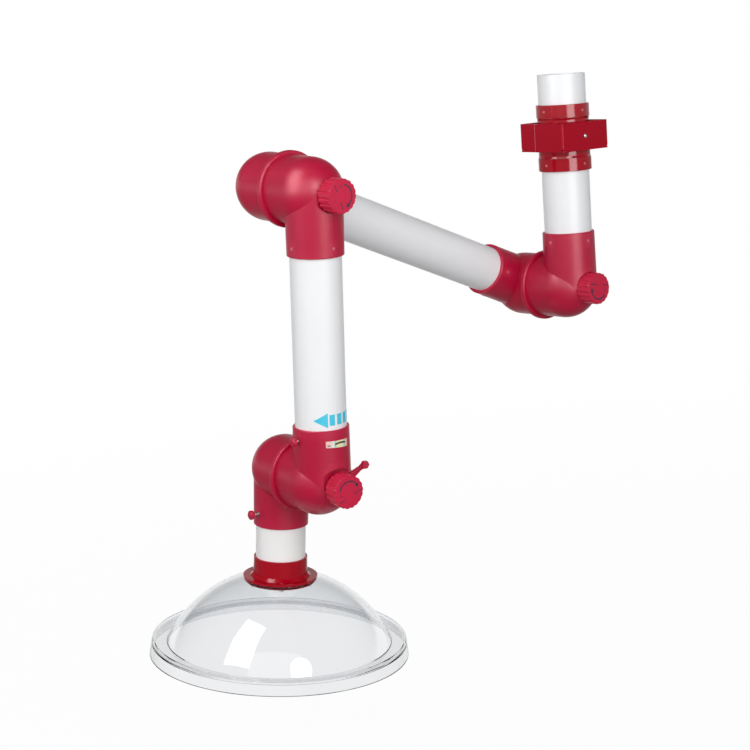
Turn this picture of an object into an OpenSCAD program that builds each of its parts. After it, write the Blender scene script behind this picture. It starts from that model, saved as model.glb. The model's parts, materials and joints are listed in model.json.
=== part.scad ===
// Local extraction arm, 75 mm tube system: three friction joints, a column swivel,
// a wrist damper and a clear dome hood. All lengths are in millimetres, +Z is up.
// Origin: the centre of the bracket's wall face, between its four bolt holes.
// +X points out of the wall, along the shoulder spindle towards its knob; the arm
// reaches out along -Y.

/* [Tubes] */
// Outer diameter of the column, forearm and hood tubes
tube_d = 75; // [74:0.5:76]
// Outer diameter of the sloping arm tube
arm_tube_d = 72; // [71:0.5:74]
// Wall thickness of the lacquered aluminium tubes
tube_wall = 1.5; // [1:0.25:2]
// Height of the open top end of the column tube above the shoulder axis
column_top = 336.5; // [310:0.5:420]
// Distance between shoulder and elbow spindle axes
arm_length = 553; // [400:1:750]
// Distance between elbow and wrist spindle axes
forearm_length = 423.5; // [300:0.5:600]
// Depth of a tube in its socket
tube_insert = 45; // [35:1:45]

/* [Friction joints] */
// Distance between the two socket axes of a joint
joint_offset = 112; // [108:1:120]
// Outer radius of the elbow barrel and dome
barrel_r = 50; // [50:0.5:52]
// Shift of the dome centre towards the parting plane
dome_shift = 10; // [9:0.5:11]
// Wall thickness of the polypropylene shells
shell_wall = 3; // [2.5:0.5:3.5]
// Radius of the friction flange at the parting plane
flange_r = 55.5; // [54:0.5:58]
// Thickness of each friction flange
flange_t = 4; // [3:0.5:5]
// Thickness of the friction disc
disc_t = 1; // [0.8:0.1:1.4]
// Socket length from the spindle axis to the rim
socket_l = 89; // [86:1:95]
// Length of the upper wrist socket, which is a little shorter
wrist_socket_l = 86; // [84:1:92]
// Socket outer radius at the root
socket_r_root = 42; // [42:0.1:43]
// Socket outer radius at the rim
socket_r_rim = 41.2; // [41:0.1:42]
// Distance from the socket axis to the flat at the top of the dome
dome_flat = 35.8; // [35:0.1:36.5]
// Spindle radius
spindle_r = 4; // [4:0.5:4.5]

/* [Knobs] */
// Knob radius over the flutes
knob_r = 24.7; // [23.5:0.1:26]
// Knob length from skirt to face
knob_l = 24; // [23:0.1:26]
// Number of finger flutes round a knob
flutes = 18; // [14:1:20]
// Stand-off of the elbow knob from the dome, over the shoulder knob's
elbow_knob_shift = 5; // [3:0.5:6]
// Stand-off of the wrist knob, which leaves room for the damper lever
wrist_knob_shift = 8.5; // [4:0.5:9]

/* [Rest pose] */
// Angle by which the column is swivelled in its bracket
swivel = 3.5; // [-20:0.1:20]
// Slope of the arm tube above level
arm_slope = 22.5; // [0:0.5:45]
// Turn of the elbow joint about the arm tube
arm_twist = -4; // [-10:0.5:10]
// Turn of the wrist joint about the forearm tube
wrist_turn = 4.7; // [-20:0.1:20]
// Tilt of the hood at the wrist
hood_tilt = -3.1; // [-30:0.1:30]

/* [Bracket] */
// Outer width of the front strap
strap_w = 98; // [96:1:110]
// Height of the strap
strap_h = 44; // [40:1:50]
// Distance of the strap's front face from the tube axis
strap_front = 49; // [45:0.5:52]
// Sheet thickness of the strap
strap_t = 2; // [1.5:0.5:2.5]
// Mid height of the strap above the shoulder axis
strap_z = 240; // [238:1:245]
// Spacing of the wall bolts across the bracket
bolt_dx = 60; // [56:1:64]
// Spacing of the wall bolts up the bracket
bolt_dz = 22; // [20:1:24]
// Radius of the wall bolt holes
bolt_r = 3.3; // [2.7:0.1:3.6]

/* [Swivel] */
// Outer radius of the swivel bush
bush_r = 40.6; // [40.4:0.1:41]
// Outer radius of the two retaining collars
collar_r = 41.8; // [41.5:0.1:43]
// Height of each collar
collar_h = 20.3; // [18:0.1:24]
// Height of the bush between the collars
bush_h = 62.4; // [60:0.1:66]

/* [Hood] */
// Distance from the wrist axis to the top of the hood collar
hood_neck = 140; // [136:1:150]
// Distance from the wrist axis to the seat of the hood
hood_seat = 173.3; // [170:0.1:180]
// Radius of the red hood flange
hood_flange_r = 56.3; // [54:0.1:60]
// Sphere radius of the clear dome
dome_r = 192.5; // [190:0.5:194]
// Radius of the dome foot
dome_foot_r = 172; // [168:0.5:174]
// Distance from the wrist axis to the dome foot
dome_foot = 272.5; // [270:0.5:276]
// Outer radius of the hood rim
rim_r = 198.2; // [196:0.1:205]
// Distance from the wrist axis to the lower edge of the rim
rim_low = 291; // [288:0.5:300]
// Wall thickness of the clear hood
hood_wall = 3; // [2.5:0.5:3.5]

/* [Hidden] */
$fn = 96;
eps = 0.02;
tube_r = tube_d / 2;
arm_r = arm_tube_d / 2;
slip = 0.05;
half = joint_offset / 2;
gap = 0.1;
near_face = half - disc_t / 2 - gap;
far_face = half - disc_t / 2;
seat = socket_l - tube_insert;
wrist_seat = wrist_socket_l - tube_insert;
elbow_turn = 90 + arm_slope;
screw_r = 1.4;
head_r = 2.3;
lip = disc_t + gap - 0.15;
flange_round = 2.2;
knob_back = dome_flat + 0.4;
knob_front = knob_back + knob_l;
knob_seat = knob_front - 11.5;
shaft_r = 6;
head_pocket_r = 10;
upper_thumb_out = 44.5;
lower_thumb_out = 49.5;
upper_thumb_rim = 18;
lower_thumb_rim = 19.5;
wrist_pocket_r = 29;
lever_t = 2.4;
strap_c = strap_w / 2;
back_c = strap_c - strap_t;
strap_back = 50;
strap_lap = 14;
bush_mid = 238.3;
bush_lo = bush_mid - bush_h / 2;
bush_hi = bush_mid + bush_h / 2;
collar_gap = 0.3;
spigot_lo = bush_hi + collar_gap + collar_h + 0.1;
dome_seat_r = hood_flange_r - 1.3;
dome_c = hood_seat + 1 + sqrt(dome_r * dome_r - dome_seat_r * dome_seat_r);
red = "#b01030";
white = "#eef0f2";
steel = "#b9bcc0";
brass_c = "#b39a52";
dark = "#303236";
clear_c = [0.85, 0.88, 0.9, 0.35];

// ---- frames ----------------------------------------------------------------
// at_bracket puts the row origin on the wall face of the bracket; the modules below are
// drawn round the shoulder, where the spindle axis meets the column axis. at_wall also
// turns the column and all it carries by the swivel angle.
module at_bracket() {
  translate([strap_back, 0, -strap_z]) children();
}
module at_wall() {
  at_bracket() rotate([0, 0, swivel]) children();
}
// Arm frame: origin on the far shoulder socket axis, z along the arm tube.
module arm_frame() {
  translate([-joint_offset, 0, 0]) rotate([90 - arm_slope, 0, 0]) children();
}
// Elbow frame: origin on the far elbow socket axis, x along the elbow spindle.
module elbow_frame() {
  arm_frame() translate([0, 0, arm_length]) rotate([0, 0, arm_twist]) children();
}
// Forearm frame: origin on the near elbow socket axis, z down the forearm tube.
module forearm_frame() {
  elbow_frame() translate([joint_offset, 0, 0]) rotate([elbow_turn, 0, 0]) children();
}
// Wrist frame: origin on the near wrist socket axis, x along the wrist spindle.
module wrist_frame() {
  forearm_frame() translate([0, 0, forearm_length]) rotate([0, 0, wrist_turn]) children();
}
// Hood frame: origin on the far wrist socket axis, z down the hood tube.
module hood_frame() {
  wrist_frame() translate([-joint_offset, 0, 0]) rotate([hood_tilt, 0, 0]) children();
}
module along_x(x0, x1, r) {
  translate([x0, 0, 0]) rotate([0, 90, 0]) cylinder(r = r, h = x1 - x0);
}
module ring_z(z0, z1, ro, ri) {
  difference() {
    translate([0, 0, z0]) cylinder(r = ro, h = z1 - z0);
    translate([0, 0, z0 - 1]) cylinder(r = ri, h = z1 - z0 + 2);
  }
}
module ring_x(x0, x1, ro, ri) {
  difference() {
    along_x(x0, x1, ro);
    along_x(x0 - 1, x1 + 1, ri);
  }
}

// ---- friction joint parts ----------------------------------------------------
// Flange ring with its outer corner rounded on the dome side.
module flange(x0, x1) {
  rotate([0, 90, 0]) rotate_extrude() intersection() {
    union() {
      translate([barrel_r - 2, x0]) square([flange_r - flange_round - barrel_r + 2, x1 - x0]);
      translate([barrel_r - 2, x0]) square([flange_r - barrel_r + 2, x1 - x0 - flange_round]);
      translate([flange_r - flange_round, x1 - flange_round]) circle(r = flange_round);
    }
    translate([barrel_r - 2, x0]) square([flange_r - barrel_r + 2, x1 - x0]);
  }
}
// Elbow half: x is the spindle axis with the dome at +x, the tube socket is along +z.
// rim is how far the flange rim stands in front of the face and round the disc.
// pocket_r is the flat cut into the socket's root round the knob or the bolt head.
// thumb is the distance of a thumb screw hole from the rim, or 0 for four small screws.
module shell(face, rim, len, seat_z, bore, hole_r, pocket_r, thumb = 0) {
  difference() {
    union() {
      along_x(-face, -dome_shift, barrel_r);
      intersection() {
        translate([-dome_shift, 0, 0]) sphere(r = barrel_r);
        translate([-dome_shift - eps, -60, -60]) cube([dome_flat + dome_shift + eps, 120, 120]);
      }
      flange(-face - rim, -face + flange_t);
      cylinder(r1 = socket_r_root, r2 = socket_r_rim, h = len - 0.8);
      translate([0, 0, len - 0.8]) cylinder(r1 = socket_r_rim, r2 = socket_r_rim - 0.8, h = 0.8);
    }
    along_x(-face - 1, -dome_shift, barrel_r - shell_wall);
    intersection() {
      translate([-dome_shift, 0, 0]) sphere(r = barrel_r - shell_wall);
      translate([-dome_shift - eps, -60, -60]) cube([dome_flat - 8 + dome_shift, 120, 120]);
    }
    cylinder(r = bore - 3, h = len);
    translate([0, 0, seat_z]) cylinder(r = bore + slip, h = len);
    along_x(-face - rim - 1, -face, flange_r - 2);
    along_x(0, 60, hole_r + slip);
    along_x(dome_flat + eps, 60, pocket_r);
    if (thumb > 0) {
      translate([0, 0, len - thumb]) rotate([90, 0, 0]) cylinder(r = 4, h = 60);
    } else {
      for (a = [0 : 90 : 270])
        translate([0, 0, len - 13.5]) rotate([0, 90, a]) cylinder(r = screw_r + slip, h = 60);
    }
  }
}
// Four self-tapping screws that hold a tube in its socket.
module socket_screws(len, bore) {
  for (a = [0 : 90 : 270])
    rotate([0, 0, a]) translate([0, 0, len - 13.5]) {
      along_x(bore - 3, socket_r_rim + 0.2, screw_r);
      along_x(socket_r_rim + 0.16, socket_r_rim + 1.1, head_r);
    }
}
module tube(r, z0, z1) {
  ring_z(z0, z1, r, r - tube_wall);
}
// Holes for the socket screws at one end of a tube.
module screw_holes(z) {
  for (a = [0 : 90 : 270])
    translate([0, 0, z]) rotate([0, 90, a]) cylinder(r = screw_r + slip, h = 60);
}
module friction_disc() {
  ring_x(-half - disc_t / 2, -half + disc_t / 2, flange_r - 2.2, barrel_r - shell_wall + 1);
}
// Through bolt with its hexagon head outside the far dome.
module spindle(tip) {
  head_x = -joint_offset - dome_flat - 0.1;
  along_x(head_x - eps, tip, spindle_r);
  translate([head_x - 5.5, 0, 0]) rotate([0, 90, 0]) cylinder(r = 7.5, h = 5.5, $fn = 6);
}
// skirt is the length of the sleeve that reaches back over the springs.
module knob(skirt = 0) {
  difference() {
    union() {
      along_x(knob_back, knob_front - 1, knob_r);
      along_x(knob_back - skirt, knob_back + 1, knob_r - 4);
      translate([knob_front - 1, 0, 0]) rotate([0, 90, 0]) cylinder(r1 = knob_r, r2 = knob_r - 1, h = 1);
    }
    along_x(knob_back - skirt - 1, knob_seat, knob_r - 7);
    along_x(knob_seat - 1, knob_front - 2.5, spindle_r + 0.3);
    translate([knob_seat - eps, 0, 0]) rotate([0, 90, 0]) cylinder(r = 7.6, h = 6.6, $fn = 6);
    for (i = [0 : flutes - 1])
      rotate([i * 360 / flutes, 0, 0]) translate([knob_back - 1, 0, knob_r + 1.2])
        rotate([0, 90, 0]) cylinder(r = 2.8, h = knob_l + 2, $fn = 32);
  }
}
module knob_nut() {
  difference() {
    translate([knob_seat + 0.05, 0, 0]) rotate([0, 90, 0]) cylinder(r = 7.5, h = 6.53, $fn = 6);
    along_x(knob_seat - 1, knob_seat + 8, spindle_r + slip);
  }
}
// Stack of conical spring washers under the knob.
module disc_springs(x0, x1, count, ri) {
  step = (x1 - x0) / count;
  for (i = [0 : count - 1])
    translate([x0 + i * step, 0, 0]) rotate([0, 90, 0]) rotate_extrude()
      polygon(i % 2 == 0 ?
        [[ri, step - 1.2], [ri, step], [10, 1.2], [10, 0]] :
        [[ri, 0], [ri, 1.2], [10, step], [10, step - 1.2]]);
}
// Thumb screw: the steel stud's tip clamps the tube, and the head on its end stands
// out from the socket along -y. out is how far the head's back is from the tube axis.
module thumb_stud(out) {
  rotate([90, 0, 0]) translate([0, 0, tube_r + 0.3]) cylinder(r = 2.5, h = out - tube_r + 2.7);
}
module thumb_head(out) {
  rotate([90, 0, 0]) difference() {
    union() {
      translate([0, 0, out]) cylinder(r1 = 5.4, r2 = 7, h = 1);
      translate([0, 0, out + 1]) cylinder(r = 7, h = 4);
      translate([0, 0, out + 5]) cylinder(r1 = 7, r2 = 4.4, h = 1.8);
    }
    translate([0, 0, out - 1]) cylinder(r = 2.5, h = 4);
    for (i = [0 : 11])
      rotate([0, 0, i * 30]) translate([7.5, 0, out - 1]) cylinder(r = 1, h = 8, $fn = 24);
  }
}
module threaded_insert(r0, r1) {
  rotate([90, 0, 0]) ring_z(r0, r1, 4 - slip, 2.5 + slip);
}

// ---- bracket ------------------------------------------------------------------
module rounded_rect(x0, x1, y0, y1, r) {
  translate([x0 + r, y0]) square([x1 - x0 - 2 * r, y1 - y0]);
  translate([x0, y0 + r]) square([x1 - x0, y1 - y0 - 2 * r]);
  for (x = [x0 + r, x1 - r])
    for (y = [y0 + r, y1 - r])
      translate([x, y]) circle(r = r);
}
module strap_band() {
  translate([0, 0, strap_z - strap_h / 2]) linear_extrude(height = strap_h) children();
}
module bracket_front() {
  color(red) at_bracket() difference() {
    strap_band() difference() {
      rounded_rect(-strap_c - 20, strap_front, -strap_c, strap_c, 3.2);
      rounded_rect(-strap_c - 30, strap_front - strap_t, -back_c, back_c, 1.2);
      translate([-strap_c - 40, -80]) square([strap_c + 40 - strap_lap, 160]);
    }
    translate([0, 0, strap_z]) along_x(20, 60, 3 + slip);
    for (s = [-1, 1])
      translate([strap_front - 1.8, s * (strap_c - 1), strap_z - strap_h / 2 + 3])
        cube([5, 4, 2], center = true);
  }
}
module bracket_back() {
  color(red) at_bracket() difference() {
    strap_band() difference() {
      rounded_rect(-strap_back, strap_c, -back_c, back_c, 3.2);
      rounded_rect(-strap_back + strap_t, strap_c + 10, -back_c + strap_t, back_c - strap_t, 1.2);
      translate([8, -80]) square([80, 160]);
    }
    for (y = [-1, 1])
      for (z = [-1, 1])
        translate([0, y * bolt_dx / 2, strap_z + z * bolt_dz / 2]) along_x(-60, -40, bolt_r);
    for (s = [-1, 1])
      translate([-strap_back + 1.8, s * (back_c - 1), strap_z - strap_h / 2 + 3])
        cube([5, 4, 2], center = true);
  }
}
// Square plastic block that fills the strap and carries the round bush.
module bearing_block() {
  color(dark) at_bracket() difference() {
    translate([0, 0, strap_z - 19]) linear_extrude(height = 38) difference() {
      rounded_rect(-strap_back + strap_t, strap_front - strap_t, -back_c + strap_t, back_c - strap_t, 1.2);
      circle(r = bush_r + slip);
    }
    for (y = [-1, 1])
      for (z = [-1, 1])
        translate([0, y * bolt_dx / 2, strap_z + z * bolt_dz / 2]) along_x(-60, -36, 7);
    translate([0, 0, strap_z]) along_x(20, 60, 3 + slip);
  }
}
module swivel_bush() {
  color(red) at_bracket() difference() {
    union() {
      translate([0, 0, bush_lo]) cylinder(r = bush_r, h = bush_h);
      translate([0, 0, bush_hi - 3]) cylinder(r1 = bush_r, r2 = bush_r + 0.6, h = 3);
      translate([0, 0, bush_lo]) cylinder(r1 = bush_r + 0.6, r2 = bush_r, h = 3);
    }
    translate([0, 0, bush_lo - 1]) cylinder(r = tube_r + slip, h = bush_h + 2);
    translate([0, 0, strap_z]) along_x(20, 60, 3 + slip);
  }
}
module lock_screw() {
  color(steel) at_bracket() translate([0, 0, strap_z]) difference() {
    union() {
      along_x(tube_r + 0.4, strap_front + 0.6, 3);
      translate([strap_front + 0.6 - eps, 0, 0]) rotate([0, 90, 0]) cylinder(r1 = 3, r2 = 1.8, h = 1);
    }
    translate([strap_front - 1.4, 0, 0]) rotate([0, 90, 0]) cylinder(r = 1.7, h = 5, $fn = 6);
  }
}

// ---- column -------------------------------------------------------------------
// Tube with a shallow snap groove under the upper collar's edge, above which it takes a hose.
module column_tube() {
  color(white) at_wall() difference() {
    tube(tube_r, seat, column_top);
    ring_z(spigot_lo - 1.6, spigot_lo, tube_r + 1, tube_r - 0.5);
    screw_holes(socket_l - 13.5);
    screw_holes(bush_hi + collar_gap + collar_h / 2);
    screw_holes(bush_lo - collar_gap - collar_h / 2);
  }
}
module collar(z0) {
  difference() {
    union() {
      ring_z(z0 + 0.6, z0 + collar_h - 0.6, collar_r, tube_r + slip);
      ring_z(z0, z0 + collar_h, collar_r - 0.6, tube_r + slip);
    }
    screw_holes(z0 + collar_h / 2);
  }
}
module upper_collar() { color(red) at_wall() collar(bush_hi + collar_gap); }
module lower_collar() { color(red) at_wall() collar(bush_lo - collar_gap - collar_h); }
module collar_screws() {
  color(red) at_wall()
  for (z = [bush_hi + collar_gap + collar_h / 2, bush_lo - collar_gap - collar_h / 2])
    for (a = [0 : 90 : 270])
      translate([0, 0, z]) rotate([0, 0, a]) {
        along_x(tube_r - 2.5, collar_r + 0.2, screw_r);
        along_x(collar_r - 0.02, collar_r + 0.9, head_r - 0.3);
      }
}

// ---- shoulder -----------------------------------------------------------------
module shoulder_near_shell() {
  color(red) at_wall() shell(near_face, lip, socket_l, seat, tube_r, spindle_r, knob_r + 1);
}
module shoulder_near_screws() { color(red) at_wall() socket_screws(socket_l, tube_r); }
module shoulder_springs() {
  color(steel) at_wall() disc_springs(dome_flat + 0.1, knob_seat - 1.8, 4, spindle_r + 0.3);
}
module shoulder_washer() {
  color(steel) at_wall() ring_x(knob_seat - 1.8, knob_seat - 0.3, 10.5, spindle_r + 0.3);
}
module shoulder_far_shell() {
  color(red) at_wall() arm_frame() rotate([0, 0, 180])
    shell(far_face, 0, socket_l, seat, arm_r, spindle_r, head_pocket_r);
}
module shoulder_far_screws() { color(red) at_wall() arm_frame() socket_screws(socket_l, arm_r); }
module shoulder_disc() { color(dark) at_wall() friction_disc(); }
module shoulder_spindle() { color(steel) at_wall() spindle(knob_front - 3.5); }
module shoulder_knob() { color(red) at_wall() knob(); }
module shoulder_knob_nut() { color(steel) at_wall() knob_nut(); }
module arm_tube() {
  color(white) at_wall() arm_frame() difference() {
    tube(arm_r, seat, arm_length - seat);
    screw_holes(socket_l - 13.5);
    rotate([0, 0, arm_twist]) screw_holes(arm_length - socket_l + 13.5);
  }
}

// ---- elbow --------------------------------------------------------------------
module elbow_near_place() { elbow_frame() translate([joint_offset, 0, 0]) children(); }
module elbow_far_shell() {
  color(red) at_wall() elbow_frame() rotate([0, 180, 0])
    shell(far_face, 0, socket_l, seat, arm_r, spindle_r, head_pocket_r);
}
module elbow_far_screws() {
  color(red) at_wall() elbow_frame() rotate([0, 180, 0]) socket_screws(socket_l, arm_r);
}
module elbow_disc() { color(dark) at_wall() elbow_near_place() friction_disc(); }
module elbow_spindle() {
  color(steel) at_wall() elbow_near_place() spindle(knob_front + elbow_knob_shift - 3.5);
}
module elbow_knob_place() {
  elbow_near_place() translate([elbow_knob_shift, 0, 0]) rotate([7, 0, 0]) children();
}
module elbow_knob() { color(red) at_wall() elbow_knob_place() knob(elbow_knob_shift); }
module elbow_knob_nut() { color(steel) at_wall() elbow_knob_place() knob_nut(); }
module elbow_near_shell() {
  color(red) at_wall() forearm_frame() shell(near_face, lip, socket_l, seat, tube_r, spindle_r, knob_r + 1);
}
module elbow_near_screws() { color(red) at_wall() forearm_frame() socket_screws(socket_l, tube_r); }
module elbow_springs() {
  color(steel) at_wall() forearm_frame()
    disc_springs(dome_flat + 0.1, knob_seat + elbow_knob_shift - 1.8, 5, spindle_r + 0.3);
}
module elbow_washer() {
  color(steel) at_wall() forearm_frame() translate([elbow_knob_shift, 0, 0])
    ring_x(knob_seat - 1.8, knob_seat - 0.3, 10.5, spindle_r + 0.3);
}
module forearm_tube() {
  color(white) at_wall() forearm_frame() difference() {
    tube(tube_r, seat, forearm_length - wrist_seat - gap);
    screw_holes(socket_l - 13.5);
  }
}
// Printed flow mark: an arrow head and four bars, wrapped on the forearm tube.
module flow_mark() {
  lo = forearm_length - 112;
  color("#2aa8d8") at_wall() forearm_frame() difference() {
    intersection() {
      ring_z(lo - 1, lo + 24, tube_r + 0.25, tube_r);
      union() {
        for (i = [0 : 3])
          rotate([0, 0, -52 + i * 19]) translate([30, 0, lo + 3]) cube([14, 8.5, 16]);
        rotate([0, 0, 34]) translate([25, 0, lo + 11]) rotate([90, 0, 90])
          linear_extrude(height = 20) polygon([[-8, -11], [-8, 11], [13, 0]]);
      }
    }
    translate([0, 0, lo - 2]) cylinder(r = tube_r, h = 30);
  }
}

// ---- wrist --------------------------------------------------------------------
module wrist_near_shell() {
  color(red) at_wall() wrist_frame() rotate([180, 0, 0])
    shell(near_face, lip, wrist_socket_l, wrist_seat, tube_r, shaft_r, wrist_pocket_r, upper_thumb_rim);
}
module wrist_springs() {
  color(steel) at_wall() wrist_frame()
    disc_springs(dome_flat + 3, knob_seat + wrist_knob_shift - 1.5, 5, spindle_r + 0.3);
}
module wrist_washer() {
  color(steel) at_wall() wrist_frame()
    ring_x(knob_seat + wrist_knob_shift - 1.5, knob_seat + wrist_knob_shift, 10.5, spindle_r + 0.3);
}
// Film label wrapped on the socket, a little higher at one end than at the other.
module wrist_label() {
  color("#e8e2c8") at_wall() wrist_frame() rotate([180, 0, 0]) difference() {
    intersection() {
      ring_z(54, 76, socket_r_root + 0.1, socket_r_root - 3);
      rotate([0, 0, 2.5]) translate([25, 0, 0]) rotate([90, 0, 90])
        linear_extrude(height = 25) polygon([[-18.7, 62], [-18.7, 71.3], [18.7, 70.7], [18.7, 59.3]]);
    }
    cylinder(r1 = socket_r_root, r2 = socket_r_rim, h = wrist_socket_l - 0.8);
  }
}
module upper_thumb_place() {
  wrist_frame() rotate([180, 0, 0]) translate([0, 0, wrist_socket_l - upper_thumb_rim]) children();
}
module upper_insert() {
  color(brass_c) at_wall() upper_thumb_place() threaded_insert(tube_r + 0.4, socket_r_rim - 0.1);
}
module upper_thumb_stud() { color(steel) at_wall() upper_thumb_place() thumb_stud(upper_thumb_out); }
module upper_thumb_head() { color(red) at_wall() upper_thumb_place() thumb_head(upper_thumb_out); }
module damper_shaft() {
  color(steel) at_wall() wrist_frame() difference() {
    along_x(-33, dome_flat + 0.3 + lever_t, shaft_r);
    along_x(-40, 60, spindle_r + 0.3);
    translate([-33, -1.05, -7]) cube([66, 2.1, 14]);
    rivet_holes();
  }
}
module damper_disc() {
  color(steel) at_wall() wrist_frame() difference() {
    translate([0, 1, 0]) rotate([90, 0, 0]) cylinder(r = 27, h = 2);
    along_x(-40, 40, spindle_r + 0.3);
    rivet_holes();
  }
}
module damper_rivets() {
  color(steel) at_wall() wrist_frame()
  for (x = [-22, 22])
    for (z = [-5.2, 5.2])
      translate([x, 3.6, z]) rotate([90, 0, 0]) cylinder(r = 0.8, h = 7.2);
}
module rivet_holes() {
  for (x = [-22, 22])
    for (z = [-5.2, 5.2])
      translate([x, 8, z]) rotate([90, 0, 0]) cylinder(r = 0.8 + slip, h = 16);
}
// Lever on the outer end of the damper shaft, under the wrist knob, with a rib along
// its upper edge and a six-sided tip.
module damper_lever() {
  x0 = dome_flat + 0.3;
  color(red) at_wall() wrist_frame() rotate([180 + 28, 0, 0])
  difference() {
    union() {
      along_x(x0, x0 + lever_t, 13);
      translate([x0, 0, 0]) rotate([90, 0, 90]) linear_extrude(height = lever_t)
        polygon([[0, -7], [28, -6], [46, -3.6], [53, -4.5], [53, 4.5], [46, 3.6], [28, 6], [0, 7]]);
      translate([x0, 0, 0]) rotate([90, 0, 90]) linear_extrude(height = lever_t + 2.6)
        polygon([[27, 2.8], [46, 1.2], [50, 1.2], [50, 3.6], [46, 3.6], [27, 6.1]]);
      translate([x0, 55, 0]) rotate([0, 90, 0]) cylinder(r = 6.2, h = lever_t + 3.4, $fn = 6);
    }
    along_x(dome_flat - 1, dome_flat + 5, shaft_r + 0.02);
  }
}
module wrist_far_shell() {
  color(red) at_wall() hood_frame() rotate([0, 0, 180])
    shell(far_face, 0, socket_l, seat, tube_r, spindle_r, head_pocket_r, lower_thumb_rim);
}
module wrist_disc() { color(dark) at_wall() wrist_frame() friction_disc(); }
module wrist_spindle() { color(steel) at_wall() wrist_frame() spindle(knob_front + wrist_knob_shift - 3.5); }
module wrist_knob_place() {
  wrist_frame() translate([wrist_knob_shift, 0, 0]) rotate([3, 0, 0]) children();
}
module wrist_knob() { color(red) at_wall() wrist_knob_place() knob(wrist_knob_shift - 3); }
module wrist_knob_nut() { color(steel) at_wall() wrist_knob_place() knob_nut(); }
module lower_thumb_place() {
  hood_frame() translate([0, 0, socket_l - lower_thumb_rim]) rotate([0, 0, 180]) children();
}
module lower_insert() {
  color(brass_c) at_wall() lower_thumb_place() threaded_insert(tube_r + 0.4, socket_r_rim - 0.1);
}
module lower_thumb_stud() { color(steel) at_wall() lower_thumb_place() thumb_stud(lower_thumb_out); }
module lower_thumb_head() { color(red) at_wall() lower_thumb_place() thumb_head(lower_thumb_out); }

// ---- hood ---------------------------------------------------------------------
module hood_tube() {
  color(white) at_wall() hood_frame() tube(tube_r, seat + gap, hood_seat - 6);
}
module hood_collar() {
  color(red) at_wall() hood_frame() difference() {
    union() {
      translate([0, 0, hood_neck]) cylinder(r1 = 40.6, r2 = 41.4, h = hood_seat - 3.8 - hood_neck);
      translate([0, 0, hood_seat - 8]) cylinder(r1 = 41.2, r2 = 46, h = 4.3);
      ring_z(hood_seat - 3.8, hood_seat - 0.6, hood_flange_r, 38);
      ring_z(hood_seat - 3.2, hood_seat, hood_flange_r - 0.6, 38);
    }
    translate([0, 0, hood_neck - 1]) cylinder(r = tube_r + slip, h = hood_seat - 6 - hood_neck + 1);
    translate([0, 0, hood_neck]) cylinder(r = tube_r - 1.5, h = 60);
    for (a = [30 : 60 : 330])
      rotate([0, 0, a]) translate([48, 0, hood_seat - 20]) cylinder(r = 2 + slip, h = 40);
  }
}
module hood_gasket() {
  color(dark) at_wall() hood_frame() difference() {
    ring_z(hood_seat, hood_seat + 1, 52, 40);
    for (a = [30 : 60 : 330])
      rotate([0, 0, a]) translate([48, 0, hood_seat - 20]) cylinder(r = 2 + slip, h = 40);
  }
}
// Clear thermoformed hood: flat seat, spherical dome, foot channel, bead and skirt.
module hood_dome() {
  top = hood_seat + 1;
  color(clear_c) at_wall() hood_frame() difference() {
    union() {
      difference() {
        intersection() {
          translate([0, 0, dome_c]) sphere(r = dome_r);
          translate([0, 0, top]) cylinder(r = dome_foot_r + 4, h = dome_foot - top + hood_wall);
        }
        intersection() {
          translate([0, 0, dome_c]) sphere(r = dome_r - hood_wall);
          translate([0, 0, top + hood_wall]) cylinder(r = 220, h = 200);
        }
      }
      ring_z(dome_foot, dome_foot + hood_wall, rim_r - 3, dome_foot_r - 3);
      difference() {
        translate([0, 0, dome_foot - 5]) cylinder(r1 = rim_r - 4.2, r2 = rim_r, h = rim_low - dome_foot + 5);
        translate([0, 0, dome_foot - 6])
          cylinder(r1 = rim_r - 7.4, r2 = rim_r - 3, h = rim_low - dome_foot + 7);
      }
    }
    translate([0, 0, top - 1]) cylinder(r = 37.5, h = 10);
    for (a = [30 : 60 : 330])
      rotate([0, 0, a]) translate([48, 0, hood_seat - 20]) cylinder(r = 2 + slip, h = 40);
  }
}
module hood_clamp_ring() {
  lo = hood_seat + 1 + hood_wall;
  color(red) at_wall() hood_frame() difference() {
    ring_z(lo, lo + 3, 52, 38);
    for (a = [30 : 60 : 330])
      rotate([0, 0, a]) translate([48, 0, lo - 10]) cylinder(r = 2 + slip, h = 40);
  }
}
module hood_screws() {
  lo = hood_seat + 4 + hood_wall;
  color(steel) at_wall() hood_frame()
  for (a = [30 : 60 : 330])
    rotate([0, 0, a]) translate([48, 0, 0]) {
      translate([0, 0, hood_seat - 3]) cylinder(r = 2, h = lo - hood_seat + 3);
      translate([0, 0, lo]) cylinder(r = 3.8, h = 2);
    }
}

bracket_back();
bracket_front();
bearing_block();
swivel_bush();
lock_screw();
column_tube();
upper_collar();
lower_collar();
collar_screws();
shoulder_near_shell();
shoulder_near_screws();
shoulder_springs();
shoulder_washer();
shoulder_far_shell();
shoulder_far_screws();
shoulder_disc();
shoulder_spindle();
shoulder_knob();
shoulder_knob_nut();
arm_tube();
elbow_far_shell();
elbow_far_screws();
elbow_disc();
elbow_spindle();
elbow_knob();
elbow_knob_nut();
elbow_near_shell();
elbow_near_screws();
elbow_springs();
elbow_washer();
forearm_tube();
flow_mark();
wrist_near_shell();
wrist_springs();
wrist_washer();
wrist_label();
upper_insert();
upper_thumb_stud();
upper_thumb_head();
damper_shaft();
damper_disc();
damper_lever();
damper_rivets();
wrist_far_shell();
wrist_disc();
wrist_spindle();
lower_insert();
lower_thumb_stud();
lower_thumb_head();
wrist_knob();
wrist_knob_nut();
hood_tube();
hood_collar();
hood_gasket();
hood_dome();
hood_clamp_ring();
hood_screws();
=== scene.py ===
import json
import math

import bmesh
import bpy
from mathutils import Matrix, Quaternion, Vector


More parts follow.
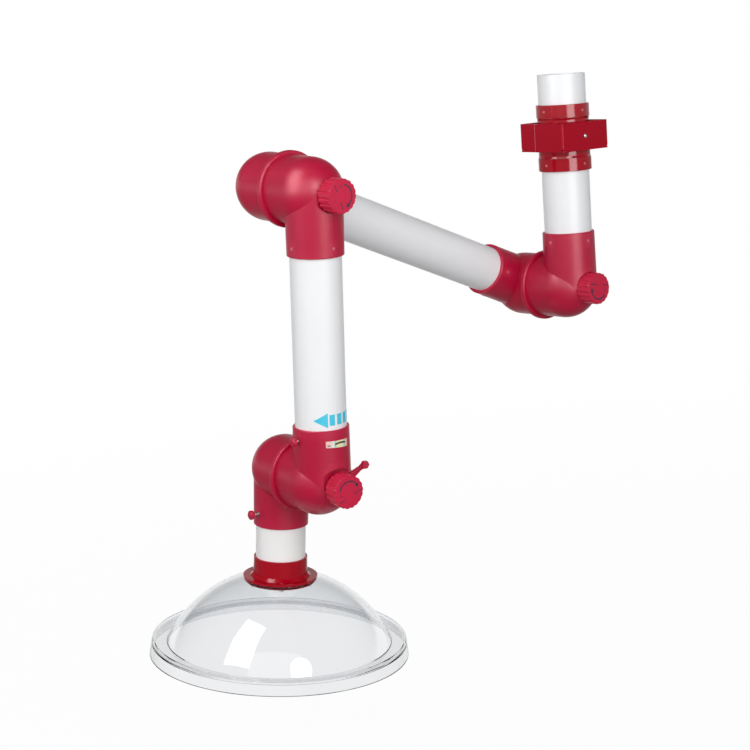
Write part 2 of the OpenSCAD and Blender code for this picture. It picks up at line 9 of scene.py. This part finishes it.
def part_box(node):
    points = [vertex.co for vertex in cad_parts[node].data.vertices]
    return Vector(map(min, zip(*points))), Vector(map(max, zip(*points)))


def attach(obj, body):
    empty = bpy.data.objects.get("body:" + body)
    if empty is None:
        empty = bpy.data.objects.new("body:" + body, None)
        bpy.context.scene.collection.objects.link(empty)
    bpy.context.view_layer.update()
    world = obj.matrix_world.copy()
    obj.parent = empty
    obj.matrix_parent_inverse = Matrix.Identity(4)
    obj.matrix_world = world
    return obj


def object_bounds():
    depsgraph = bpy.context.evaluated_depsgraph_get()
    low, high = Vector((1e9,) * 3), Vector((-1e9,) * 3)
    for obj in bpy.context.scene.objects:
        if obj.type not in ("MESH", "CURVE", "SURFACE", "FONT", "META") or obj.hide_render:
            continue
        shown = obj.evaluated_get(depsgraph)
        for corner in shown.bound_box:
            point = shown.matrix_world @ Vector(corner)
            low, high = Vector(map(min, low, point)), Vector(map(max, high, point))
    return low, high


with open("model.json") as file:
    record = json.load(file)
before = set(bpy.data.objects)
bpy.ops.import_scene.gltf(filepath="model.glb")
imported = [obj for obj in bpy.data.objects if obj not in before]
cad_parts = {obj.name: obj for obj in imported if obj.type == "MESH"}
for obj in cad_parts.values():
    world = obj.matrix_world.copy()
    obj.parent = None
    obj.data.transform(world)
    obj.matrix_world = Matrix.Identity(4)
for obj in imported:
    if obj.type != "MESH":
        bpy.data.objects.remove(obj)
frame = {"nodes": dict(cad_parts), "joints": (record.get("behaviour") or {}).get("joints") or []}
cad_lo, cad_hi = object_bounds()
scene = bpy.context.scene
nodes = frame["nodes"]
joints = {j["name"]: j for j in frame["joints"]}
MM = 0.001
UP = Vector((0, 0, 1))


# ---- small helpers -----------------------------------------------------------
def joint_frame(name):
    """Point and unit axis of a joint."""
    j = joints[name]
    return Vector(j["pos_m"]), Vector(j["axis"]).normalized()


def reach(node, point, axis):
    """Furthest distance of a CAD node from point along axis."""
    return max((v.co - point).dot(axis) for v in nodes[node].data.vertices)


def axes_matrix(x, y, z, point):
    """Matrix with the unit axes x, y and z, and its origin at point."""
    m = Matrix.Identity(4)
    for i, v in enumerate((x, y, z)):
        m[0][i], m[1][i], m[2][i] = v.x, v.y, v.z
    m.translation = point
    return m


def basis(point, axis, up):
    """Frame whose local Z is axis and whose local Y is closest to up."""
    z = axis.normalized()
    x = up.cross(z).normalized()
    return axes_matrix(x, z.cross(x), z, point)


def new_object(name, bm, matrix, smooth=True):
    """Object made from bm, with matrix applied to its mesh."""
    mesh = bpy.data.meshes.new(name)
    bmesh.ops.recalc_face_normals(bm, faces=bm.faces)
    bm.to_mesh(mesh)
    bm.free()
    mesh.transform(matrix)
    for p in mesh.polygons:
        p.use_smooth = smooth
    ob = bpy.data.objects.new(name, mesh)
    scene.collection.objects.link(ob)
    return ob


# ---- materials ---------------------------------------------------------------
def material(name, **values):
    """New material with values set on its Principled shader, its tree and that shader."""
    m = bpy.data.materials.new(name)
    m.use_nodes = True
    bsdf = m.node_tree.nodes["Principled BSDF"]
    for key, v in values.items():
        bsdf.inputs[key.replace("_", " ")].default_value = v
    return m, m.node_tree, bsdf


def node(tree, kind, **values):
    n = tree.nodes.new(kind)
    for key, v in values.items():
        n.inputs[key.replace("_", " ")].default_value = v
    return n


def object_coords(tree):
    return tree.nodes.new("ShaderNodeTexCoord").outputs["Object"]


def noise(tree, scale, detail=3.0, rough=0.55):
    """Noise in object coordinates, from 0 to 1."""
    n = node(tree, "ShaderNodeTexNoise", Scale=scale, Detail=detail, Roughness=rough)
    tree.links.new(object_coords(tree), n.inputs["Vector"])
    return n.outputs["Fac"]


def ramp(tree, source, stops):
    """Colour of source along stops, which are pairs of position and colour."""
    r = tree.nodes.new("ShaderNodeValToRGB")
    e = r.color_ramp.elements
    while len(e) < len(stops):
        e.new(0.5)
    for el, (pos, col) in zip(e, stops):
        el.position = pos
        el.color = (*col, 1.0)
    tree.links.new(source, r.inputs["Fac"])
    return r.outputs["Color"]


def span(tree, source, lo, hi):
    """Source, from 0 to 1, stretched to run from lo to hi."""
    r = node(tree, "ShaderNodeMapRange", To_Min=lo, To_Max=hi)
    tree.links.new(source, r.inputs["Value"])
    return r.outputs["Result"]


def bump(tree, bsdf, source, strength, distance):
    """Relief of the given depth in metres."""
    b = node(tree, "ShaderNodeBump", Strength=strength, Distance=distance)
    tree.links.new(source, b.inputs["Height"])
    tree.links.new(b.outputs["Normal"], bsdf.inputs["Normal"])


def mix_colour(tree, factor, colour, plain):
    """Colour turned into a plain one by factor."""
    mix = tree.nodes.new("ShaderNodeMix")
    mix.data_type = "RGBA"
    tree.links.new(factor, mix.inputs["Factor"])
    tree.links.new(colour, mix.inputs["A"])
    mix.inputs["B"].default_value = (*plain, 1.0)
    return mix.outputs["Result"]


def dot_with(tree, source, direction):
    """Dot product of a vector and a fixed direction."""
    d = tree.nodes.new("ShaderNodeVectorMath")
    d.operation = "DOT_PRODUCT"
    d.inputs[1].default_value = direction
    tree.links.new(source, d.inputs[0])
    return d.outputs["Value"]


EDGE_LIGHTENING = 0.35           # most of the lighter colour that shows on a raised edge
GLOSS_FINENESS = 7         # how much finer the gloss patches are than the colour blotches
GRAIN_STRENGTH = 0.35


def lighter_raised_edges(tree, colour, lighter):
    """Mixes a lighter colour in along the raised edges."""
    g = tree.nodes.new("ShaderNodeNewGeometry")
    edge = ramp(tree, g.outputs["Pointiness"], [(0.51, (0, 0, 0)), (0.60, (EDGE_LIGHTENING,) * 3)])
    return mix_colour(tree, edge, colour, lighter)


def mottled(name, dark, light, rough, grain, edge=None, blotch=9.0, relief=0.00006, **values):
    """Moulded or painted surface: soft colour blotches, uneven gloss, fine grain."""
    m, t, b = material(name, **values)
    colour = ramp(t, noise(t, blotch), [(0.30, dark), (0.70, light)])
    if edge:
        colour = lighter_raised_edges(t, colour, edge)
    t.links.new(colour, b.inputs["Base Color"])
    gloss = noise(t, blotch * GLOSS_FINENESS, 4.0)
    t.links.new(span(t, gloss, *rough), b.inputs["Roughness"])
    bump(t, b, noise(t, grain, 4.0, 0.6), GRAIN_STRENGTH, relief)
    return m


RED_D, RED_L, RED_E = (0.45, 0.0008, 0.034), (0.50, 0.002, 0.043), (0.66, 0.04, 0.10)
red_plastic = mottled("red_plastic", RED_D, RED_L, (0.33, 0.40), 1400.0, RED_E, IOR=1.5,
                      Specular_IOR_Level=0.42)
red_knob = mottled("red_knob", (0.52, 0.001, 0.032), (0.60, 0.002, 0.042), (0.30, 0.38), 1100.0,
                   RED_E, IOR=1.47, Specular_IOR_Level=0.3)
red_gloss = mottled("red_gloss", (0.37, 0.0004, 0.009), (0.41, 0.0008, 0.012), (0.10, 0.16), 300.0,
                    relief=0.00002, IOR=1.5, Specular_IOR_Level=0.35)
red_steel = mottled("red_steel", (0.33, 0.0003, 0.012), (0.36, 0.0005, 0.015), (0.20, 0.28), 500.0,
                    (0.50, 0.004, 0.02), relief=0.00003, IOR=1.45, Specular_IOR_Level=0.12)
# Lighter red for the bracket seam strips: a painted highlight on the front strap's edge, not the
# steel's own colour.
red_seam_highlight = mottled("red_seam_highlight", (0.50, 0.08, 0.12), (0.60, 0.12, 0.16), (0.20, 0.28), 500.0)
# Screw heads are a lighter pink than the shells: a painted highlight for the glints on them.
red_screw = mottled("red_screw", (0.58, 0.12, 0.16), (0.66, 0.18, 0.22), (0.22, 0.32), 900.0,
                    blotch=60.0)
white = mottled("white_lacquer", (0.880, 0.893, 0.912), (0.893, 0.904, 0.922), (0.38, 0.42), 420.0,
                relief=0.000003, IOR=1.5)
cream = mottled("white_lacquer_warm", (0.935, 0.930, 0.924), (0.950, 0.946, 0.940), (0.38, 0.42),
                420.0, relief=0.000003, IOR=1.5)
dark = mottled("dark_plastic", (0.030, 0.031, 0.034), (0.045, 0.046, 0.050), (0.45, 0.6), 900.0)
lining = mottled("friction_lining", (0.020, 0.018, 0.018), (0.045, 0.038, 0.036), (0.7, 0.85), 1800.0,
                 blotch=120.0, relief=0.00015)
silicone = mottled("gasket_silicone", (0.60, 0.61, 0.62), (0.68, 0.69, 0.70), (0.4, 0.5), 1500.0)
old_steel = mottled("dull_steel", (0.20, 0.16, 0.15), (0.30, 0.25, 0.23), (0.35, 0.5), 700.0,
                    Metallic=1.0)
alloy = mottled("aluminium_sheet", (0.66, 0.67, 0.68), (0.76, 0.77, 0.78), (0.28, 0.42), 600.0,
                Metallic=1.0)
blue = mottled("blue_print", (0.045, 0.56, 0.78), (0.07, 0.64, 0.86), (0.3, 0.4), 900.0, blotch=80.0)
ink = mottled("ink", (0.045, 0.010, 0.045), (0.075, 0.015, 0.070), (0.4, 0.5), 1200.0, blotch=200.0)


def brushed_steel():
    """Zinc-plated steel with fine turning marks."""
    m, t, b = material("zinc_steel", Metallic=1.0)
    co = node(t, "ShaderNodeMapping")
    co.inputs["Scale"].default_value = (40.0, 900.0, 900.0)
    t.links.new(object_coords(t), co.inputs["Vector"])
    n = node(t, "ShaderNodeTexNoise", Scale=1.0, Detail=4.0)
    t.links.new(co.outputs["Vector"], n.inputs["Vector"])
    t.links.new(ramp(t, n.outputs["Fac"], [(0.3, (0.58, 0.59, 0.60)), (0.7, (0.74, 0.75, 0.76))]),
                b.inputs["Base Color"])
    t.links.new(span(t, n.outputs["Fac"], 0.22, 0.38), b.inputs["Roughness"])
    bump(t, b, n.outputs["Fac"], 0.3, 0.00003)
    return m


def clear_plastic():
    """Clear thermoformed sheet with the faint thickness waves of drawing."""
    m, t, b = material("clear_plastic", Transmission_Weight=1.0, IOR=1.38, Roughness=0.02)
    colour = ramp(t, noise(t, 5.0), [(0.3, (0.855, 0.868, 0.882)), (0.7, (0.875, 0.886, 0.898))])
    t.links.new(colour, b.inputs["Base Color"])
    bump(t, b, noise(t, 14.0, 2.0), 0.05, 0.0006)
    return m


def calc(tree, operation, a, b=0.0, c=0.0):
    """Math node on numbers or outputs."""
    n = tree.nodes.new("ShaderNodeMath")
    n.operation = operation
    for slot, v in zip(n.inputs, (a, b, c)):
        if isinstance(v, (int, float)):
            slot.default_value = v
        else:
            tree.links.new(v, slot)
    return n.outputs["Value"]


def label_film():
    """Generic printed film: soft colour bands and one dark curved stroke, no letters."""
    m, t, b = material("label_film", Roughness=0.3, Coat_Weight=0.3)
    co = [v.co for v in nodes["wrist_label"].data.vertices]
    centre = sum(co, Vector()) / len(co)
    tube, _ = joint_frame("wrist_turn")
    out = Vector((centre.x - tube.x, centre.y - tube.y, 0)).normalized()
    side = UP.cross(out)
    half = max(abs((v - centre).dot(side)) for v in co)
    high = max(abs(v.z - centre.z) for v in co)

    def across(direction, reach_m):
        """Runs from 0 to 1 over the label along direction."""
        along = dot_with(t, object_coords(t), direction)
        mid = centre.dot(direction)
        return calc(t, "MULTIPLY_ADD", along, 0.5 / reach_m, 0.5 - 0.5 * mid / reach_m)

    def band(value, middle, half_width):
        """1 where value is within half_width of middle, else 0."""
        off = calc(t, "ABSOLUTE", calc(t, "SUBTRACT", value, middle))
        return calc(t, "LESS_THAN", off, half_width)

    u, v = across(side, half), across(UP, high)
    base = ramp(t, u, [(0.0, (0.85, 0.56, 0.50)), (0.26, (0.86, 0.68, 0.60)),
                       (0.32, (0.90, 0.86, 0.76)), (0.40, (0.30, 0.62, 0.66)),
                       (0.46, (0.88, 0.80, 0.46)), (0.74, (0.90, 0.84, 0.56)),
                       (0.80, (0.32, 0.62, 0.70)), (0.86, (0.90, 0.76, 0.46)),
                       (1.0, (0.80, 0.30, 0.26))])
    wave = calc(t, "SINE", calc(t, "MULTIPLY_ADD", u, 6.5, -2.6))
    bend = calc(t, "MULTIPLY_ADD", wave, 0.10, 0.52)
    near = band(v, bend, 0.10)
    inside = band(u, 0.62, 0.24)
    mark = band(u, 0.15, 0.05)
    stroke = calc(t, "MULTIPLY", near, calc(t, "MAXIMUM", inside, calc(t, "MULTIPLY", mark, 0.6)))
    t.links.new(mix_colour(t, stroke, base, (0.02, 0.02, 0.025)), b.inputs["Base Color"])
    return m


steel = brushed_steel()
clear = clear_plastic()
label = label_film()


NAMED = {
    red_steel: ("bracket_back", "bracket_front"),
    red_gloss: ("upper_collar", "lower_collar", "swivel_bush", "hood_collar", "hood_clamp_ring"),
    cream: ("hood_tube",),
    dark: ("bearing_block",),
    alloy: ("damper_disc",),
    blue: ("flow_mark",),
    label: ("wrist_label",),
    silicone: ("hood_gasket",),
    clear: ("hood_dome",),
    steel: ("lock_screw", "damper_shaft", "damper_rivets", "hood_screws"),
}
ENDINGS = (("_knob", red_knob), ("_tube", white), ("_disc", lining), ("insert", old_steel))
STEEL_WORDS = ("spring", "washer", "spindle", "nut", "thumb_stud")


def finish_of(name):
    """Material of a CAD node: by its name, then by its ending, then by a word in it."""
    for finish, names in NAMED.items():
        if name in names:
            return finish
    for ending, finish in ENDINGS:
        if name.endswith(ending):
            return finish
    if any(word in name for word in STEEL_WORDS):
        return steel
    # Screws get the lighter pink that paints a highlight on their heads.
    return red_screw if name.endswith("screws") else red_plastic


for name, ob in nodes.items():
    mesh = ob.data
    mesh.materials.clear()
    mesh.materials.append(finish_of(name))


# ---- knob prints -------------------------------------------------------------
KNOB_R = 24.7 * MM         # the print's places are fractions of this radius
INK_H = 0.12 * MM
INK_SINK = 0.02 * MM       # how far the print starts below the knob's face
ARC_R = 0.66
ARC_W = 2.2 * MM
STROKE_W = 1.3 * MM
DOT_X, DOT_Y = 1.5 * MM, 1.0 * MM


def ribbon(bm, pts, width, height):
    """Flat strip along pts in the XY plane."""
    last = None
    for i, p in enumerate(pts):
        a, b = pts[max(i - 1, 0)], pts[min(i + 1, len(pts) - 1)]
        t = Vector((b[0] - a[0], b[1] - a[1], 0)).normalized()
        s = Vector((-t.y, t.x, 0)) * width / 2
        c = Vector((p[0], p[1], 0))
        up = Vector((0, 0, height))
        ring = [bm.verts.new(co) for co in (c + s, c + s + up, c - s + up, c - s)]
        if last:
            for k in range(4):
                bm.faces.new((last[k], last[(k + 1) % 4], ring[(k + 1) % 4], ring[k]))
        else:
            bm.faces.new(ring)
        last = ring
    bm.faces.new(last[::-1])


def plate(bm, outline, height):
    """Flat plate with the given outline in the XY plane."""
    lower = [bm.verts.new((x, y, 0)) for x, y in outline]
    upper = [bm.verts.new((x, y, height)) for x, y in outline]
    bm.faces.new(lower[::-1])
    bm.faces.new(upper)
    for k in range(len(outline)):
        n = (k + 1) % len(outline)
        bm.faces.new((lower[k], lower[n], upper[n], upper[k]))


def knob_print(which, joint, turn):
    """Curved turning arrow, a dot and two short strokes on a knob's face."""
    point, axis = joint_frame(joint)
    face = reach(which, point, axis)
    m = basis(point + axis * (face - INK_SINK), axis, UP)
    m = m @ Matrix.Rotation(math.radians(turn), 4, "Z")
    bm = bmesh.new()

    def polar(r, a):
        return KNOB_R * r * math.cos(math.radians(a)), KNOB_R * r * math.sin(math.radians(a))

    ribbon(bm, [polar(ARC_R, a) for a in range(168, 35, -4)], ARC_W, INK_H)
    plate(bm, [polar(ARC_R, 20), polar(0.84, 40), polar(0.50, 42)], INK_H)
    dot_x, dot_y = polar(0.57, 195)
    angles = [a * math.pi / 8 for a in range(16)]
    plate(bm, [(dot_x + DOT_X * math.cos(a), dot_y + DOT_Y * math.sin(a)) for a in angles], INK_H)
    for x0, y0, x1, y1 in ((-0.70, -0.55, -0.27, -0.39), (0.33, -0.15, 0.79, 0.03)):
        ribbon(bm, [(x0 * KNOB_R, y0 * KNOB_R), (x1 * KNOB_R, y1 * KNOB_R)], STROKE_W, INK_H)
    ob = new_object(which + "_print", bm, m, smooth=False)
    ob.data.materials.append(ink)
    return ob


for which, joint, turn, body in (("shoulder_knob", "shoulder_knob_turn", 150, "shoulder_hand_knob"),
                                 ("elbow_knob", "elbow_knob_turn", -90, "elbow_hand_knob"),
                                 ("wrist_knob", "wrist_knob_turn", 0, "wrist_hand_knob")):
    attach(knob_print(which, joint, turn), body)


# ---- bracket seams and their painted highlights ------------------------------
def seam_highlight_strip(name, y, out):
    """Rounded edge where the front strap ends on the side of the rear one, in a lighter red: a
    painted highlight along that edge.
    """
    lo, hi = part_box("bracket_front")
    wide, proud, deep, inset = 1.0 * MM, 0.09 * MM, 0.03 * MM, 0.2 * MM
    bm = bmesh.new()
    last = None
    for k in range(9):
        z = lo.z + inset + (hi.z - lo.z - 2 * inset) * k / 8
        ring = [bm.verts.new((lo.x, y - out * deep, z))]
        for a in range(0, 181, 30):
            c, d = math.cos(math.radians(a)), math.sin(math.radians(a))
            ring.append(bm.verts.new((lo.x + wide * (1 - c) / 2, y + out * proud * d, z)))
        ring.append(bm.verts.new((lo.x + wide, y - out * deep, z)))
        if last:
            for n in range(len(ring)):
                e = (n + 1) % len(ring)
                bm.faces.new((last[n], last[e], ring[e], ring[n]))
        else:
            bm.faces.new(ring)
        last = ring
    bm.faces.new(last[::-1])
    ob = new_object(name, bm, Matrix.Identity(4))
    # The lighter red on this strip is a painted highlight.
    ob.data.materials.append(red_seam_highlight)
    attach(ob, "bracket")


strap_lo, strap_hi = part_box("bracket_front")
seam_highlight_strip("bracket_seam_highlight_left", strap_lo.y, -1)
seam_highlight_strip("bracket_seam_highlight_right", strap_hi.y, 1)

# ---- floor, lights and camera ------------------------------------------------
# The photograph's view and the lights are given for an arm that isn't swivelled in its bracket,
# and about_column turns them with the arm.
column_point, _ = joint_frame("column_swivel")
_, spindle_axis = joint_frame("shoulder_hinge")
swivel = Matrix.Rotation(math.atan2(spindle_axis.y, spindle_axis.x), 4, "Z")
about_column = Matrix.Translation(column_point) @ swivel @ Matrix.Translation(-column_point)
PALE = (1.0, 1.0, 1.0)
FLOOR_R, FLOOR_DROP = 60.0, 0.16
VIEW_AHEAD = (-0.7484, 0.6387, -0.1787)
VIEW_RIGHT = (0.65681, 0.75117, -0.06591)
VIEW_UP = (-0.09217, 0.16673, 0.98169)
VIEW_FROM = (2.1032, -2.17567, 0.17809)
LENS_MM, SENSOR_MM = 90.07, 36.0
bm = bmesh.new()
bmesh.ops.create_circle(bm, cap_ends=True, radius=FLOOR_R, segments=96)
floor = new_object("floor", bm, Matrix.Translation((0, 0, cad_lo.z - FLOOR_DROP)), smooth=False)


def floor_paint():
    """Pale floor that turns into plain white away from the object."""
    m, t, b = material("floor_paint", Roughness=0.8)
    t.links.new(ramp(t, noise(t, 6.0), [(0.4, (0.86, 0.86, 0.865)), (0.6, (0.88, 0.88, 0.885))]),
                b.inputs["Base Color"])
    length = node(t, "ShaderNodeVectorMath")
    length.operation = "LENGTH"
    t.links.new(object_coords(t), length.inputs[0])
    rng = node(t, "ShaderNodeMapRange", From_Min=0.9, From_Max=3.0, To_Min=0.97, To_Max=1.0)
    t.links.new(length.outputs["Value"], rng.inputs["Value"])
    glow = node(t, "ShaderNodeEmission", Color=(*PALE, 1.0), Strength=1.0)
    mix = t.nodes.new("ShaderNodeMixShader")
    t.links.new(rng.outputs["Result"], mix.inputs["Fac"])
    t.links.new(b.outputs["BSDF"], mix.inputs[1])
    t.links.new(glow.outputs["Emission"], mix.inputs[2])
    t.links.new(mix.outputs["Shader"], t.nodes["Material Output"].inputs["Surface"])
    return m


floor.data.materials.append(floor_paint())
floor.visible_diffuse = False
floor.visible_glossy = False


def studio_world():
    """Dim grey room with a white horizon and a white wall behind the object."""
    world = bpy.data.worlds.new("studio")
    world.use_nodes = True
    t = world.node_tree
    co = t.nodes.new("ShaderNodeTexCoord")
    sep = t.nodes.new("ShaderNodeSeparateXYZ")
    t.links.new(co.outputs["Generated"], sep.inputs["Vector"])
    height = node(t, "ShaderNodeMapRange", From_Min=-1.0, From_Max=1.0)
    t.links.new(sep.outputs["Z"], height.inputs["Value"])
    sky = ramp(t, height.outputs["Result"], [(0.0, (0.25,) * 3), (0.46, (0.25,) * 3), (0.485, PALE),
                                             (0.55, PALE), (0.59, (0.15,) * 3), (1.0, (0.16,) * 3)])
    behind = dot_with(t, co.outputs["Generated"], swivel @ Vector(VIEW_AHEAD))
    wall = ramp(t, behind, [(0.80, (0, 0, 0)), (0.95, (1, 1, 1))])
    t.links.new(mix_colour(t, wall, sky, PALE), t.nodes["Background"].inputs["Color"])
    t.nodes["Background"].inputs["Strength"].default_value = 1.0
    return world


scene.world = studio_world()


def softbox(name, place, aim, width, height, radiance, shine=True, spread=True, kind="RECTANGLE",
            roll=0.0):
    """Area light at place, turned towards aim. shine and spread say whether it is seen in
    reflections and whether it lights matt surfaces."""
    data = bpy.data.lights.new(name, "AREA")
    data.shape = kind
    data.size = width
    fill = math.pi / 4         # share of its square that a disk covers
    if kind == "RECTANGLE":
        data.size_y = height
        fill = 1.0
    data.energy = radiance * math.pi * width * height * fill
    ob = bpy.data.objects.new(name, data)
    place = about_column @ Vector(place)
    ob.location = place
    ob.rotation_mode = "QUATERNION"
    facing = (about_column @ Vector(aim) - place).to_track_quat("-Z", "Y")
    ob.rotation_quaternion = facing @ Quaternion((0, 0, 1), math.radians(roll))
    ob.visible_camera = False
    ob.visible_glossy = shine
    ob.visible_diffuse = spread
    ob.visible_transmission = False
    scene.collection.objects.link(ob)


TARGET = (0.05, -0.30, -0.15)
softbox("left_box", (-0.05, -1.30, 0.55), TARGET, 0.6, 1.2, 8.0, spread=False, roll=15.0)
softbox("front_box", (1.45, -1.75, 0.75), TARGET, 2.2, 1.6, 2.4)
softbox("round_box", (1.90, -0.93, 0.68), (0.05, -0.50, -0.40), 0.85, 0.85, 9.0, spread=False,
        kind="DISK")
softbox("right_box", (2.05, -0.40, -0.12), (0.05, 0.0, -0.05), 1.2, 0.5, 9.0, spread=False)
softbox("right_fill", (2.05, -0.45, 0.50), TARGET, 1.3, 1.4, 1.6, shine=False)
softbox("left_fill", (-0.60, -1.90, 0.40), TARGET, 1.2, 1.4, 1.5, shine=False)
softbox("top_fill", (0.60, -0.80, 2.00), TARGET, 1.2, 1.2, 1.2, shine=False)
softbox("low_fill", (1.60, -1.10, -1.10), TARGET, 1.6, 1.0, 1.8, shine=False)

cam_data = bpy.data.cameras.new("camera")
cam_data.sensor_width = SENSOR_MM
cam_data.lens = LENS_MM
cam_data.clip_start, cam_data.clip_end = 0.05, 200.0
camera = bpy.data.objects.new("camera", cam_data)
scene.collection.objects.link(camera)
right, up = Vector(VIEW_RIGHT), Vector(VIEW_UP)
view = axes_matrix(right.normalized(), up.normalized(), right.cross(up).normalized(),
                   Vector(VIEW_FROM))
camera.matrix_world = about_column @ view
scene.camera = camera
scene.view_settings.view_transform = "Standard"
scene.view_settings.look = "None"
